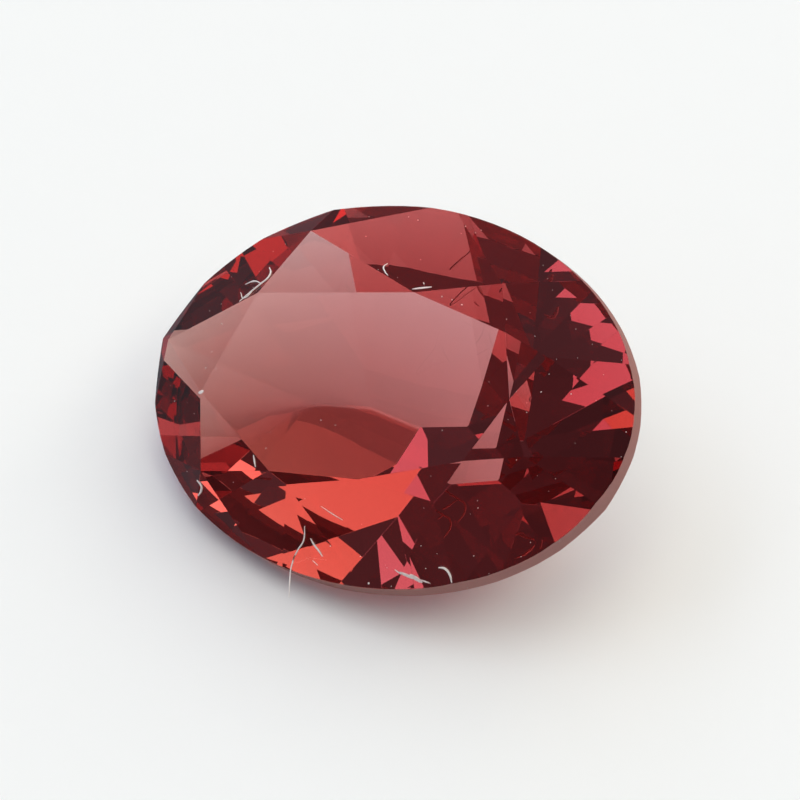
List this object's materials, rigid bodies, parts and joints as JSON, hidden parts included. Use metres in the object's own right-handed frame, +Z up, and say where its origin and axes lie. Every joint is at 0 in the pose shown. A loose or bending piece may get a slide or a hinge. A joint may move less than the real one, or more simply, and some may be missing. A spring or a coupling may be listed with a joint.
{
  "type": "cut tourmaline gemstone",
  "caption": "Loose oval faceted tourmaline, pinkish red and see-through, lying tilted on one of its lower facets.",
  "frame": {"origin": "middle of the bounding box in plan, at the level of the surface that the stone rests on", "axes": "+Z straight up from the surface; +X to the right and +Y away for someone who looks at the stone as the picture does; the stone's length runs nearly along +X and its table leans towards -X and -Y"},
  "size_m": [0.0092, 0.0074, 0.0049],
  "materials": {
    "tourmaline": "polished facets on see-through pinkish red crystal, with a frosted, unpolished girdle",
    "lint": "a few loose white fibres and specks of dust lying on the facets"
  },
  "bodies": {
    "root": {"gemstone": "tourmaline"}
  },
  "joints": []
}
